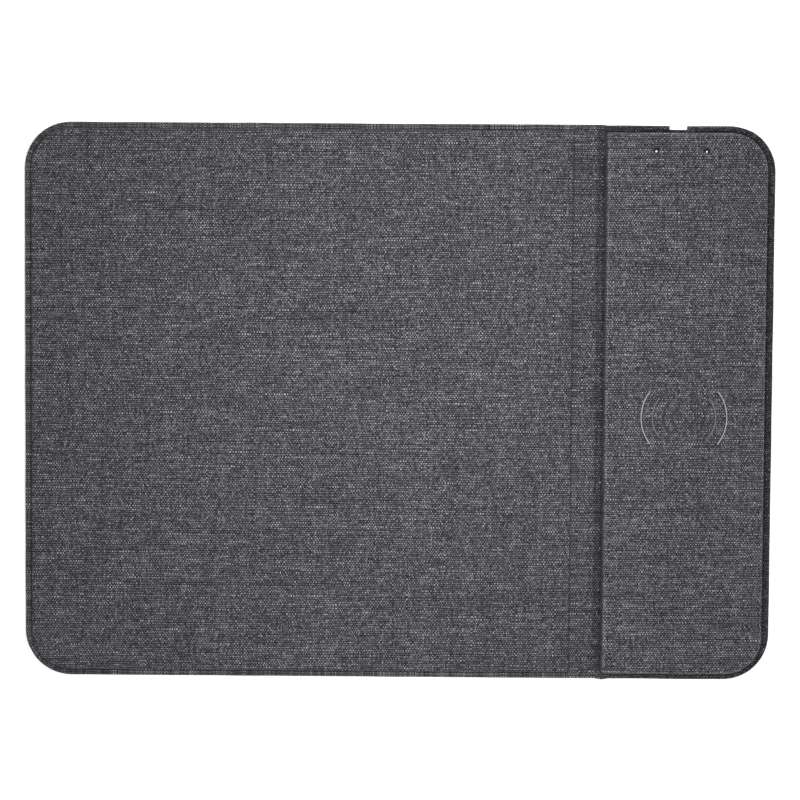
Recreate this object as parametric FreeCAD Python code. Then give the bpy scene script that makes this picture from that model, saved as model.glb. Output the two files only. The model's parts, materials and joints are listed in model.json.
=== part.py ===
# A flat desk mat with a wireless charging panel built into its right-hand end.
# The mat is a thin padded sheet.  The charging panel is a low plastic case that holds a coil and its
# circuit board, wrapped in the same cover.  A thin web of cover and base sheet joins the two, so the
# panel folds over onto the mat.  All pieces are bonded inside a pressed flange that runs round the edge.
#
# Frame: millimetres, origin at the centre of the underside, +X towards the charging panel,
# +Y towards the edge with the USB inlet, +Z up.
import FreeCAD, Part
import math
import os
from FreeCAD import Vector

# ---------------------------------------------------------------- driving dimensions
MAT_LENGTH = 285.0          # along X
MAT_WIDTH = 211.4           # along Y
CORNER_R = 17.5
FLANGE = 2.1                # width of the pressed edge
BASE_T = 0.8                # base sheet
COVER_T = 0.8               # top cover where it isn't pressed
PRESSED_T = 0.6             # top cover where it is pressed
STIFFENER_T = 0.5
MAT_TOP = 3.0
PANEL_TOP = 6.8
PANEL_EDGE_STEP = 0.25      # the panel's rear edge stands back from the mat's by this

MAT_SLOPE = 0.8             # how far the mat's padded edge leans in over its height
PANEL_SLOPE = 0.6           # how far the panel's walls lean in over their height
MAT_EDGE_R = 0.6            # rounding along the top edge of the mat's padding
PANEL_EDGE_R = 1.3
PANEL_LEFT_R = 1.5          # the panel's two corners beside the groove, in plan
PANEL_RIGHT_R = 14.8

CREASE_X = 66.4             # the mat's padding ends here
GROOVE_X = 75.0             # the pressed groove beside the panel starts here
STEP_RUN = 0.8              # the length of the slope down into the groove
PANEL_X = 77.8              # foot of the panel's left wall
PANEL_FLANGE = {"right": 3.0, "rear": 2.45, "front": 2.2}   # the pressed edge beside the panel's walls
SPINE_LENGTH = 7.2          # between the two fold lines
FOLD_GAP = 0.1              # from a fold line to the piece on each side of it

CASE_GAP = 0.1              # between the cover's inside and the case
CASE_WALL = 1.2
FLOOR_T = 0.9
LID_T = 0.8
FOAM_T = 0.5
SPLIT_Z = 3.6               # where tray and lid meet
LIP_T = 0.9                 # the lid's rim that sits inside the tray's wall
LIP_DEPTH = 0.8
RIB_T = 1.0
FIT = 0.1                   # clearance between plastic pieces that fit together

COIL_X, COIL_Y = 108.3, -5.0
COIL_TURNS = 12
COIL_PITCH = 1.2
COIL_START_R = 10.2         # centre line of the first turn
WIRE_W = 1.1
FERRITE_SIDE = 53.3
FERRITE_T = 0.9

USB_X = 105.57
LED_PLACES = {"left": (96.65, 95.7), "right": (115.65, 95.6)}
LED_HOLE_R = 0.875
SYMBOL_ARCS = [(16.2, 37.5), (11.9, 38.0), (7.9, 49.0), (4.5, 50.0)]  # radius, half angle in degrees
SYMBOL_LINE = 0.5
SYMBOL_DEPTH = 0.25

# ---------------------------------------------------------------- worked out from those
HALF_L, HALF_W = MAT_LENGTH / 2, MAT_WIDTH / 2
PANEL_REAR = HALF_W - PANEL_EDGE_STEP
FLANGE_TOP = BASE_T + PRESSED_T
WEB_TOP = BASE_T + COVER_T
WEB_MIDDLE = (CREASE_X + PANEL_X) / 2
FOLD_LEFT = WEB_MIDDLE - SPINE_LENGTH / 2
FOLD_RIGHT = WEB_MIDDLE + SPINE_LENGTH / 2
CASE_INSET = COVER_T + CASE_GAP
CASE_TOP = PANEL_TOP - COVER_T - FOAM_T
LID_UNDER = CASE_TOP - LID_T
FLOOR_TOP = BASE_T + FLOOR_T
FAR = 400.0                 # past every face

# Inside the case, from the floor up.
BOARD_Z, BOARD_TOP = 2.35, 3.15
BOARD_X = (90.0, 123.0)
BOARD_Y = (64.0, 100.4)
CHIP_BEVEL = 0.12
PLATFORM_TOP = 2.3
SEAT_SIDE = FERRITE_SIDE + 1.8
STOP_TOP, STOP_LENGTH = 3.2, 8.0
TAPE_T = 0.15
FILM_T = 0.1
FILM_R = 25.6
WINDING_T = 1.1
FERRITE_Z = PLATFORM_TOP + TAPE_T
FILM_Z = FERRITE_Z + FERRITE_T
WINDING_Z = FILM_Z + FILM_T
WINDING_MIDDLE = WINDING_Z + WINDING_T / 2
LEAD_R = 0.42
LEAD_OFFSET = {"inner": 1.4, "outer": -2.6}   # along X, from the coil's centre
LEAD_BOARD_Z = BOARD_TOP + LEAD_R + FIT / 2
LEAD_END_Y = 65.9
SOLDER_R = 0.9
LED_H = 0.7
PIPE_R = 0.72
PIPE_RECESS = 0.35

# The micro-USB socket, and the notch in the flange in front of it.
SOCKET_MOUTH_Y = 102.55
SOCKET_DEPTH = 5.0
SOCKET_REAR_Y = SOCKET_MOUTH_Y - SOCKET_DEPTH
SOCKET_W, SOCKET_H = 7.5, 2.6
SOCKET_Z = 1.95
SOCKET_WALL = 0.3
SOCKET_BEVEL = 0.9
SOCKET_FOOT = 1.0
INSULATOR_T = 1.2
TONGUE_Z, TONGUE_T, TONGUE_W = 3.45, 0.6, 3.8
TONGUE_END_Y = SOCKET_MOUTH_Y - 0.7
CONTACTS = 5
CONTACT_PITCH, CONTACT_W, CONTACT_T, CONTACT_TAIL = 0.65, 0.3, 0.12, 1.3
NOTCH_W, NOTCH_DEPTH = 6.7, 1.5
WINDOW_ROOM = 0.15          # round the socket, in the cover

# Countersunk screws from below: the left column, then the right one, from front to rear.
SCREWS = [(83.4, -96.5), (83.4, -40.0), (83.4, 29.5), (83.4, 96.3),
          (131.3, -93.2), (133.0, -40.0), (133.0, 29.5), (131.3, 93.0)]
SCREW_R = 0.97
PILOT_R = 1.0
HEAD_R = 1.9
HEAD_H = 0.85
SCREW_CROSS = (1.1, 0.22)   # half length and half width of each slot in the head
BOSS_R = 2.4
BOSS_SPLIT_Z = 3.0          # the tray's bosses end here, and the lid's bosses start just above

# Ribs that hold the lid up where nothing else stands on the floor.
FRONT_RIBS_Y = (-86.0, -72.0, -58.0)
FRONT_RIBS_X = (94.6, 108.3, 122.0)
FRONT_RIBS_END = (-97.0, -44.0)
MIDDLE_RIBS_Y = (35.0, 46.5, 58.0)
MIDDLE_RIBS_X = (94.6, 122.0)
RIBS_END_X = (82.6, 134.0)
LEAD_PASSAGE_X = (102.0, 113.5)   # the middle ribs stop short here for the coil's leads

# Posts under the circuit board.  The front two carry pegs that go through it.
PEGS = [(92.5, 67.0), (120.5, 67.0)]
POSTS = PEGS + [(92.0, 97.4), (121.0, 97.4)]
POST_R, PEG_R, PEG_UP = 1.8, 1.0, 0.4


# ---------------------------------------------------------------- small tools
def box(x0, x1, y0, y1, z0, z1):
    return Part.makeBox(x1 - x0, y1 - y0, z1 - z0, Vector(x0, y0, z0))


def rod(x, y, z0, z1, radius):
    return Part.makeCylinder(radius, z1 - z0, Vector(x, y, z0))


def fused(shapes):
    """One shape of all of these, with faces that lie in one surface joined."""
    return shapes[0].multiFuse(shapes[1:]).removeSplitter() if len(shapes) > 1 else shapes[0]


def outline(x0, x1, y0, y1, z, left=0.0, right=0.0):
    """A rectangle at height z whose two left corners have radius left and two right ones radius right."""
    corners = [(x1, y0, right, 1, -1), (x1, y1, right, 1, 1), (x0, y1, left, -1, 1), (x0, y0, left, -1, -1)]
    edges, start, last = [], None, None
    for index, (x, y, radius, sx, sy) in enumerate(corners):
        centre = Vector(x - sx * radius, y - sy * radius, z)
        middle = math.radians(-45 + 90 * index)
        ends = [centre + Vector(math.cos(a), math.sin(a), 0) * radius
                for a in (middle - math.pi / 4, middle, middle + math.pi / 4)]
        if last is not None:
            edges.append(Part.LineSegment(last, ends[0]).toShape())
        else:
            start = ends[0]
        if radius > 0:
            edges.append(Part.Arc(*ends).toShape())
        last = ends[2]
    edges.append(Part.LineSegment(last, start).toShape())
    return Part.Wire(edges)


def plate(wire, thickness):
    return Part.Face(wire).extrude(Vector(0, 0, thickness))


def with_round_top(shape, z, radius):
    """The shape with the edges of its top face, at height z, rounded."""
    top = [e for e in shape.Edges if all(abs(v.Z - z) < 1e-6 for v in e.Vertexes)]
    return shape.makeFillet(radius, top)


def along_y(points, y0, y1):
    """A prism along Y from a profile of (x, z) points."""
    corners = [Vector(x, y0, z) for x, z in points]
    return Part.Face(Part.makePolygon(corners + corners[:1])).extrude(Vector(0, y1 - y0, 0))


def wire_run(points, radius):
    """A round wire through these points, with a ball at each bend."""
    pieces = []
    for a, b in zip(points, points[1:]):
        pieces.append(Part.makeCylinder(radius, (b - a).Length, a, b - a))
    for bend in points[1:-1]:
        pieces.append(Part.makeSphere(radius, bend))
    return pieces[0].multiFuse(pieces[1:])


# ---------------------------------------------------------------- the mat
def mat_outline(inset, z, right_x):
    """The mat's part of the outer outline, brought in by inset and ending at right_x."""
    return outline(-HALF_L + inset, right_x, -HALF_W + inset, HALF_W - inset, z, left=CORNER_R - inset)


def padded_block(inset, z0, z1):
    """A slice of the mat's padded middle, inset from the outside of its cover."""
    wires = []
    for z in (z0, z1):
        lean = MAT_SLOPE * (z - BASE_T) / (MAT_TOP - BASE_T)
        wires.append(mat_outline(FLANGE + inset + lean, z, CREASE_X - inset - lean))
    return Part.makeLoft(wires, True, True)


def mat_top_cover():
    flange = plate(mat_outline(0, BASE_T, CREASE_X), PRESSED_T)
    web = box(CREASE_X, FOLD_LEFT - FOLD_GAP, -HALF_W, HALF_W, BASE_T, WEB_TOP)
    padding = with_round_top(padded_block(0, BASE_T, MAT_TOP), MAT_TOP, MAT_EDGE_R)
    return fused([flange, web, padding]).cut(padded_block(COVER_T, BASE_T, MAT_TOP - COVER_T))


def mat_stiffener_board():
    return padded_block(CASE_INSET, BASE_T, BASE_T + STIFFENER_T)


def mat_foam_layer():
    return padded_block(CASE_INSET, BASE_T + STIFFENER_T, MAT_TOP - COVER_T)


def mat_base_cover():
    return plate(mat_outline(0, 0, FOLD_LEFT - FOLD_GAP), BASE_T)


# ---------------------------------------------------------------- the web between the fold lines
def spine_top_cover():
    x0, x1 = FOLD_LEFT + FOLD_GAP, FOLD_RIGHT - FOLD_GAP
    profile = [(x0, BASE_T), (x1, BASE_T), (x1, FLANGE_TOP), (GROOVE_X + STEP_RUN / 2, FLANGE_TOP),
               (GROOVE_X - STEP_RUN / 2, WEB_TOP), (x0, WEB_TOP)]
    return along_y(profile, -HALF_W, HALF_W)


def spine_base_cover():
    return box(FOLD_LEFT + FOLD_GAP, FOLD_RIGHT - FOLD_GAP, -HALF_W, HALF_W, 0, BASE_T)


# ---------------------------------------------------------------- the charging panel's covers
def panel_outline(inset, z):
    """The panel's outside at height z, brought in by inset."""
    inset += PANEL_SLOPE * (z - BASE_T) / (PANEL_TOP - BASE_T)
    return outline(PANEL_X + inset, HALF_L - PANEL_FLANGE["right"] - inset,
                   -HALF_W + PANEL_FLANGE["front"] + inset, PANEL_REAR - PANEL_FLANGE["rear"] - inset, z,
                   left=PANEL_LEFT_R, right=PANEL_RIGHT_R - inset)


def panel_block(inset, z0, z1):
    return Part.makeLoft([panel_outline(inset, z0), panel_outline(inset, z1)], True, True)


def panel_sheet(z, thickness):
    """A sheet the size of the panel with its flange and groove, less the notch in front of the inlet."""
    sheet = plate(outline(FOLD_RIGHT + FOLD_GAP, HALF_L, -HALF_W, PANEL_REAR, z, right=CORNER_R), thickness)
    notch = box(USB_X - NOTCH_W / 2, USB_X + NOTCH_W / 2, PANEL_REAR - NOTCH_DEPTH, FAR, -1, PANEL_TOP)
    return sheet.cut(notch)


def port_window(z0, z1, room):
    """The space that the socket needs through a wall."""
    half = SOCKET_W / 2 + room
    return box(USB_X - half, USB_X + half, SOCKET_MOUTH_Y - SOCKET_DEPTH - room, FAR, z0, z1)


def symbol_groove(radius, half_angle, side):
    """One pressed arc of the mark over the coil; side is 1 for the right-hand arcs, -1 for the left."""
    facing = 0 if side > 0 else 180
    centre = Vector(COIL_X, COIL_Y, PANEL_TOP - SYMBOL_DEPTH)
    rings = [Part.makeCylinder(r, 2 * SYMBOL_DEPTH, centre, Vector(0, 0, 1), 2 * half_angle)
             for r in (radius + SYMBOL_LINE / 2, radius - SYMBOL_LINE / 2)]
    groove = rings[0].cut(rings[1])
    groove.rotate(centre, Vector(0, 0, 1), facing - half_angle)
    return groove


def charger_top_cover():
    raised = with_round_top(panel_block(0, BASE_T, PANEL_TOP), PANEL_TOP, PANEL_EDGE_R)
    cover = fused([panel_sheet(BASE_T, PRESSED_T), raised])
    cover = cover.cut(panel_block(COVER_T, BASE_T, PANEL_TOP - COVER_T))
    cover = cover.cut(port_window(SOCKET_Z - WINDOW_ROOM, SOCKET_Z + SOCKET_H + WINDOW_ROOM, WINDOW_ROOM))
    cuts = [rod(x, y, CASE_TOP, FAR, LED_HOLE_R) for x, y in LED_PLACES.values()]
    for radius, half_angle in SYMBOL_ARCS:
        cuts += [symbol_groove(radius, half_angle, side) for side in (-1, 1)]
    return cover.cut(cuts)


def charger_base_cover():
    return panel_sheet(0, BASE_T)


def charger_foam_layer():
    foam = panel_block(CASE_INSET, CASE_TOP, CASE_TOP + FOAM_T)
    return foam.cut([rod(x, y, 0, PANEL_TOP, LED_HOLE_R + FIT) for x, y in LED_PLACES.values()])


# ---------------------------------------------------------------- the case
def square(side, z0, z1):
    """A square block centred on the coil."""
    half = side / 2
    return box(COIL_X - half, COIL_X + half, COIL_Y - half, COIL_Y + half, z0, z1)


def coil_seat():
    """The raised platform under the coil, with a stop at each corner of the ferrite."""
    stops = square(SEAT_SIDE, PLATFORM_TOP, STOP_TOP)
    stops = stops.cut(square(FERRITE_SIDE + 4 * FIT, PLATFORM_TOP, STOP_TOP))
    reach = SEAT_SIDE / 2 - STOP_LENGTH
    stops = stops.cut(box(COIL_X - reach, COIL_X + reach, -FAR, FAR, 0, PANEL_TOP))
    stops = stops.cut(box(-FAR, FAR, COIL_Y - reach, COIL_Y + reach, 0, PANEL_TOP))
    return [square(SEAT_SIDE, FLOOR_TOP, PLATFORM_TOP), stops]


def ribs():
    def along_x(y, x0, x1):
        return box(x0, x1, y - RIB_T / 2, y + RIB_T / 2, FLOOR_TOP, LID_UNDER - FIT)

    def along_depth(x, y0, y1):
        return box(x - RIB_T / 2, x + RIB_T / 2, y0, y1, FLOOR_TOP, LID_UNDER - FIT)

    made = [along_x(y, *RIBS_END_X) for y in FRONT_RIBS_Y]
    made += [along_depth(x, *FRONT_RIBS_END) for x in FRONT_RIBS_X]
    for y in MIDDLE_RIBS_Y:
        made.append(along_x(y, RIBS_END_X[0], LEAD_PASSAGE_X[0]))
        made.append(along_x(y, LEAD_PASSAGE_X[1], RIBS_END_X[1]))
    made += [along_depth(x, MIDDLE_RIBS_Y[0], MIDDLE_RIBS_Y[-1]) for x in MIDDLE_RIBS_X]
    return made


def housing_tray():
    tray = panel_block(CASE_INSET, BASE_T, SPLIT_Z)
    tray = tray.cut(panel_block(CASE_INSET + CASE_WALL, FLOOR_TOP, SPLIT_Z))
    inside = coil_seat() + ribs()
    inside += [rod(x, y, FLOOR_TOP, BOARD_Z, POST_R) for x, y in POSTS]
    inside += [rod(x, y, BOARD_Z, BOARD_TOP + PEG_UP, PEG_R) for x, y in PEGS]
    inside += [rod(x, y, FLOOR_TOP, BOSS_SPLIT_Z, BOSS_R) for x, y in SCREWS]
    tray = fused([tray] + inside)
    hole_r = SCREW_R + 1.5 * FIT
    holes = [rod(x, y, 0, SPLIT_Z, hole_r) for x, y in SCREWS]
    holes += [Part.makeCone(HEAD_R + FIT, hole_r, HEAD_H + FIT / 2, Vector(x, y, BASE_T)) for x, y in SCREWS]
    return tray.cut(holes + [port_window(SOCKET_Z - FIT, FAR, FIT)])


def housing_lid():
    wall_in = CASE_INSET + CASE_WALL
    rim_in = wall_in + LIP_T
    lip_z = SPLIT_Z - LIP_DEPTH
    lid = panel_block(CASE_INSET, SPLIT_Z, CASE_TOP).cut(panel_block(rim_in, SPLIT_Z, LID_UNDER))
    lip = panel_block(wall_in + FIT, lip_z, SPLIT_Z).cut(panel_block(rim_in, lip_z, SPLIT_Z))
    lip = lip.cut(box(BOARD_X[0] - 1, BOARD_X[1] + 1, BOARD_Y[0], FAR, 0, SPLIT_Z))
    lip = lip.cut([rod(x, y, 0, SPLIT_Z, BOSS_R + 2 * FIT) for x, y in SCREWS])
    lip = lip.cut(square(SEAT_SIDE + 4 * FIT, 0, SPLIT_Z))
    bosses = [rod(x, y, BOSS_SPLIT_Z + FIT, LID_UNDER, BOSS_R - 2 * FIT) for x, y in SCREWS]
    lid = fused([lid, lip] + bosses)
    holes = [rod(x, y, BOSS_SPLIT_Z, LID_UNDER, PILOT_R) for x, y in SCREWS]
    holes += [rod(x, y, 0, FAR, PIPE_R + FIT) for x, y in LED_PLACES.values()]
    return lid.cut(holes + [port_window(0, SOCKET_Z + SOCKET_H + FIT, FIT)])


def housing_screws():
    made = []
    for x, y in SCREWS:
        head = Part.makeCone(HEAD_R, SCREW_R, HEAD_H, Vector(x, y, BASE_T + FIT / 2))
        screw = head.fuse(rod(x, y, BASE_T + HEAD_H, LID_UNDER - 3 * FIT, SCREW_R))
        for half_x, half_y in (SCREW_CROSS, SCREW_CROSS[::-1]):
            screw = screw.cut(box(x - half_x, x + half_x, y - half_y, y + half_y, 0, BASE_T + HEAD_H / 2))
        made.append(screw)
    return Part.makeCompound(made)


# ---------------------------------------------------------------- the coil
def coil_tape():
    return square(FERRITE_SIDE - 1.5, PLATFORM_TOP, FERRITE_Z)


def lead_slot():
    """The slot that takes the inner lead out from under the winding."""
    x, start = COIL_X + LEAD_OFFSET["inner"], COIL_Y + COIL_START_R
    half = LEAD_R + FIT
    straight = box(x - half, x + half, start, FAR, FERRITE_Z, FILM_Z)
    return [straight, rod(x, start, FERRITE_Z, FILM_Z, 2 * LEAD_R)]


def ferrite_shield():
    return square(FERRITE_SIDE, FERRITE_Z, FILM_Z).cut(lead_slot())


def coil_insulating_film():
    film = rod(COIL_X, COIL_Y, FILM_Z, WINDING_Z, FILM_R)
    return film.cut(rod(COIL_X, COIL_Y, FILM_Z, WINDING_Z, COIL_START_R + WIRE_W / 2 + 2 * FIT))


def coil_winding():
    """A flat spiral of half turns: each is half a pitch larger than the last, and two centres take turns."""
    def half_turn(index, offset):
        radius = COIL_START_R + index * COIL_PITCH / 2 + offset
        shift = COIL_PITCH / 2 if index % 2 else 0.0
        first = math.pi / 2 + math.pi * index
        centre = Vector(COIL_X, COIL_Y + shift, WINDING_Z)
        return [centre + Vector(math.cos(a), math.sin(a), 0) * radius
                for a in (first, first + math.pi / 2, first + math.pi)]

    outer = [half_turn(i, WIRE_W / 2) for i in range(2 * COIL_TURNS)]
    inner = [half_turn(i, -WIRE_W / 2) for i in range(2 * COIL_TURNS)]
    edges = [Part.Arc(*points).toShape() for points in outer]
    edges.append(Part.LineSegment(outer[-1][2], inner[-1][2]).toShape())
    edges += [Part.Arc(*reversed(points)).toShape() for points in reversed(inner)]
    edges.append(Part.LineSegment(inner[0][0], outer[0][0]).toShape())
    return plate(Part.Wire(edges), WINDING_T)


def coil_lead_inner():
    """From the first turn down into the slot, out past the ferrite and up to the circuit board."""
    x, start, edge = COIL_X + LEAD_OFFSET["inner"], COIL_Y + COIL_START_R, COIL_Y + FERRITE_SIDE / 2
    slot_z = FERRITE_Z + LEAD_R + FIT / 4
    return wire_run([Vector(COIL_X + FIT / 2, start, WINDING_MIDDLE),
                     Vector(COIL_X + 1.0, start - FIT, WINDING_MIDDLE - FIT),
                     Vector(x, start, slot_z),
                     Vector(x, edge + 2 * LEAD_R, slot_z),
                     Vector(x, edge + 5.0, LEAD_BOARD_Z),
                     Vector(x, LEAD_END_Y, LEAD_BOARD_Z)], LEAD_R)


def coil_lead_outer():
    """From the last turn off at a tangent, then straight to the circuit board."""
    end = COIL_Y + COIL_START_R + COIL_TURNS * COIL_PITCH
    x = COIL_X + LEAD_OFFSET["outer"]
    return wire_run([Vector(COIL_X - FIT / 2, end, WINDING_MIDDLE),
                     Vector(x + 1.0, end + FIT, WINDING_MIDDLE),
                     Vector(x, end + 1.6, WINDING_MIDDLE),
                     Vector(x, end + 6.0, LEAD_BOARD_Z),
                     Vector(x, LEAD_END_Y, LEAD_BOARD_Z)], LEAD_R)


# ---------------------------------------------------------------- the circuit board
def circuit_board():
    board = box(*BOARD_X, *BOARD_Y, BOARD_Z, BOARD_TOP)
    holes = [rod(x, y, 0, PANEL_TOP, PEG_R + FIT) for x, y in PEGS]
    return board.cut(holes + [port_window(0, PANEL_TOP, FIT)])


def chip(x, y, size_x, size_y, height):
    """A component that stands on the board, with its top edges bevelled."""
    body = box(x - size_x / 2, x + size_x / 2, y - size_y / 2, y + size_y / 2, BOARD_TOP, BOARD_TOP + height)
    top = [e for e in body.Edges if all(abs(v.Z - BOARD_TOP - height) < 1e-6 for v in e.Vertexes)]
    return body.makeChamfer(CHIP_BEVEL, top)


def controller_chip():
    return chip(106.5, 85.5, 6.0, 6.0, 0.9)


def power_transistors():
    return Part.makeCompound([chip(x, y, 5.0, 4.0, 1.1) for x in (96.0, 117.0) for y in (76.0, 82.0)])


def resonant_capacitors():
    return Part.makeCompound([chip(101.8 + 2.8 * i, 71.5, 1.6, 3.2, 1.25) for i in range(4)])


def input_capacitors():
    return Part.makeCompound([chip(x, 91.8, 2.5, 3.2, 1.35) for x in (99.6, 112.6)])


def sense_resistor():
    return chip(106.5, 78.4, 6.3, 3.2, 0.6)


def small_resistors():
    """Columns of small parts down both sides of the board, and short ones beside the controller."""
    places = [(x, 73.0 + 2.5 * i) for x in (92.2, 120.6) for i in range(7)]
    places += [(x, 84.0 + 2.5 * i) for x, count in ((101.0, 3), (112.2, 2)) for i in range(count)]
    return Part.makeCompound([chip(x, y, 1.6, 0.8, 0.5) for x, y in places])


def indicator_led(side):
    x, y = LED_PLACES[side]
    return chip(x, y, 1.6, 1.2, LED_H)


def light_pipe(side):
    """A clear rod from just above the LED to just below the cover's face, with a flange under the lid."""
    x, y = LED_PLACES[side]
    flange = rod(x, y, BOARD_TOP + LED_H + FIT, LID_UNDER, 2 * PIPE_R)
    return flange.fuse(rod(x, y, LID_UNDER, PANEL_TOP - PIPE_RECESS, PIPE_R))


def solder_joints():
    y = LEAD_END_Y + SOLDER_R + FIT / 4
    cones = [Part.makeCone(SOLDER_R, 0.6 * SOLDER_R, SOLDER_R, Vector(COIL_X + offset, y, BOARD_TOP))
             for offset in LEAD_OFFSET.values()]
    return Part.makeCompound(cones)


# ---------------------------------------------------------------- the USB socket
def socket_profile(inset, y, depth):
    """The socket's outline, wide at the top and narrower below, brought in by inset."""
    half, top, bottom = SOCKET_W / 2 - inset, SOCKET_Z + SOCKET_H - inset, SOCKET_Z + inset
    narrow = half - SOCKET_BEVEL + 0.4 * inset
    points = [(-narrow, bottom), (narrow, bottom), (half, bottom + SOCKET_BEVEL), (half, top), (-half, top),
              (-half, bottom + SOCKET_BEVEL)]
    return along_y([(USB_X + x, z) for x, z in points], y, y + depth)


def usb_contacts():
    """Strips under the tongue whose tails come down onto the board behind the socket."""
    made = []
    tail_y = SOCKET_REAR_Y - CONTACT_TAIL
    for index in range(CONTACTS):
        x = USB_X + CONTACT_PITCH * (index - (CONTACTS - 1) / 2)
        x0, x1 = x - CONTACT_W / 2, x + CONTACT_W / 2
        strip = box(x0, x1, tail_y, TONGUE_END_Y - 2 * FIT, TONGUE_Z - CONTACT_T, TONGUE_Z)
        foot = box(x0, x1, tail_y, tail_y + 0.8, BOARD_TOP, TONGUE_Z)
        made.append(strip.fuse(foot).removeSplitter())
    return Part.makeCompound(made)


def usb_socket_shell():
    shell = socket_profile(0, SOCKET_REAR_Y, SOCKET_DEPTH)
    shell = shell.cut(socket_profile(SOCKET_WALL, SOCKET_REAR_Y - 1, SOCKET_DEPTH + 2))
    half, out = SOCKET_W / 2, SOCKET_FOOT
    feet = [box(USB_X + x - out / 2, USB_X + x + out / 2, SOCKET_REAR_Y + 0.7, SOCKET_REAR_Y + 2.7,
                BOARD_TOP, BOARD_TOP + SOCKET_WALL) for x in (-half - out / 2, half + out / 2)]
    return fused([shell] + feet)


def usb_socket_tongue():
    block = socket_profile(SOCKET_WALL, SOCKET_REAR_Y, INSULATOR_T)
    half = TONGUE_W / 2
    tongue = box(USB_X - half, USB_X + half, SOCKET_REAR_Y, TONGUE_END_Y, TONGUE_Z, TONGUE_Z + TONGUE_T)
    return fused([block, tongue]).cut(usb_contacts())


# ---------------------------------------------------------------- every piece, by its node name
NODES = {
    "mat_top_cover": mat_top_cover,
    "mat_foam_layer": mat_foam_layer,
    "mat_stiffener_board": mat_stiffener_board,
    "mat_base_cover": mat_base_cover,
    "spine_top_cover": spine_top_cover,
    "spine_base_cover": spine_base_cover,
    "charger_top_cover": charger_top_cover,
    "charger_foam_layer": charger_foam_layer,
    "charger_base_cover": charger_base_cover,
    "housing_lid": housing_lid,
    "housing_tray": housing_tray,
    "housing_screws": housing_screws,
    "coil_tape": coil_tape,
    "ferrite_shield": ferrite_shield,
    "coil_insulating_film": coil_insulating_film,
    "coil_winding": coil_winding,
    "coil_lead_inner": coil_lead_inner,
    "coil_lead_outer": coil_lead_outer,
    "solder_joints": solder_joints,
    "circuit_board": circuit_board,
    "controller_chip": controller_chip,
    "power_transistors": power_transistors,
    "resonant_capacitors": resonant_capacitors,
    "input_capacitors": input_capacitors,
    "sense_resistor": sense_resistor,
    "small_resistors": small_resistors,
    "power_led": lambda: indicator_led("left"),
    "charge_led": lambda: indicator_led("right"),
    "power_light_pipe": lambda: light_pipe("left"),
    "charge_light_pipe": lambda: light_pipe("right"),
    "usb_socket_shell": usb_socket_shell,
    "usb_socket_tongue": usb_socket_tongue,
    "usb_contacts": usb_contacts,
}


def main():
    os.makedirs("parts", exist_ok=True)
    for old in os.listdir("parts"):
        if old.endswith(".step"):
            os.remove(os.path.join("parts", old))
    for name, make in NODES.items():
        shape = make()
        solids = shape.Solids
        sound = shape.isValid() and all(s.isClosed() and s.Volume > 0 for s in solids)
        state = "ok" if sound else "NOT SOUND"
        print(f"{name:24s} solids {len(solids):2d}  volume {shape.Volume:10.2f} mm3  {state}")
        shape.exportStep(f"parts/{name}.step")
    print(f"fold lines at X {FOLD_LEFT:.2f} and {FOLD_RIGHT:.2f}, Z {WEB_TOP:.2f}")


main()
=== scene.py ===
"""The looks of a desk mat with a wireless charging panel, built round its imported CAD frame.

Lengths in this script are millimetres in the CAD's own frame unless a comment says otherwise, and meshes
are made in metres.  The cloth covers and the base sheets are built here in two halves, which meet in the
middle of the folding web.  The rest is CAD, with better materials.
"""
import json
import math

import bpy
import numpy as np
from mathutils import Matrix, Vector, noise
from mathutils.geometry import delaunay_2d_cdt
from mathutils.kdtree import KDTree


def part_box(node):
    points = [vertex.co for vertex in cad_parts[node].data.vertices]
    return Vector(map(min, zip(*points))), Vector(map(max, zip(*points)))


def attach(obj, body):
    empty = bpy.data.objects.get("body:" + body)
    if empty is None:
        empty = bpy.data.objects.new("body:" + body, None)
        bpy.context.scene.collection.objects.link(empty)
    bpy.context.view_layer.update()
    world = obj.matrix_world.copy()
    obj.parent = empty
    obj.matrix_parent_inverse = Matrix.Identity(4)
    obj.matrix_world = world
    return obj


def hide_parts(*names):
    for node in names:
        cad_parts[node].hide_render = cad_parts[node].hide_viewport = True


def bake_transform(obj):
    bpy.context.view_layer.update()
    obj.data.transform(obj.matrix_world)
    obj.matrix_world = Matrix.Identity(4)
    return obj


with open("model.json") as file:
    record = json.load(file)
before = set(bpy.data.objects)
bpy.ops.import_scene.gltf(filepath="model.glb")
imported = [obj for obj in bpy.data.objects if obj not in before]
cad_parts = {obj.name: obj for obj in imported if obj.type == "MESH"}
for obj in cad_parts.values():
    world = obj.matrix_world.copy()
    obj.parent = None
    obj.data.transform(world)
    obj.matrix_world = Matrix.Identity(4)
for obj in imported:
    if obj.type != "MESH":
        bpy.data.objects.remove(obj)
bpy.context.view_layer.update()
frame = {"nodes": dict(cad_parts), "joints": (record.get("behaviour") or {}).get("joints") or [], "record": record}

MM = 0.001


def box_mm(node):
    low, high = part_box(node)
    return Vector(low) / MM, Vector(high) / MM


# ---------------------------------------------------------------- places, read from the frame
MAT_LOW, MAT_HIGH = box_mm("mat_top_cover")
PANEL_HIGH = box_mm("charger_top_cover")[1]
CASE_LOW, CASE_HIGH = box_mm("housing_tray")
SOCKET_LOW, SOCKET_HIGH = box_mm("usb_socket_shell")
LID_TOP = box_mm("housing_lid")[1].z
BASE_TOP = box_mm("mat_base_cover")[1].z
WEB_TOP = box_mm("spine_top_cover")[1].z
COIL = sum(box_mm("coil_insulating_film"), Vector()) / 2
LENSES = {name: sum(box_mm(name), Vector()) / 2 for name in ("power_light_pipe", "charge_light_pipe")}
FOLDS = {joint["name"]: joint["pos_m"][0] / MM for joint in frame["joints"]}
SEAM_X = (FOLDS["mat_fold"] + FOLDS["panel_fold"]) / 2
FRONT, REAR = MAT_LOW.y, MAT_HIGH.y

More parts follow.
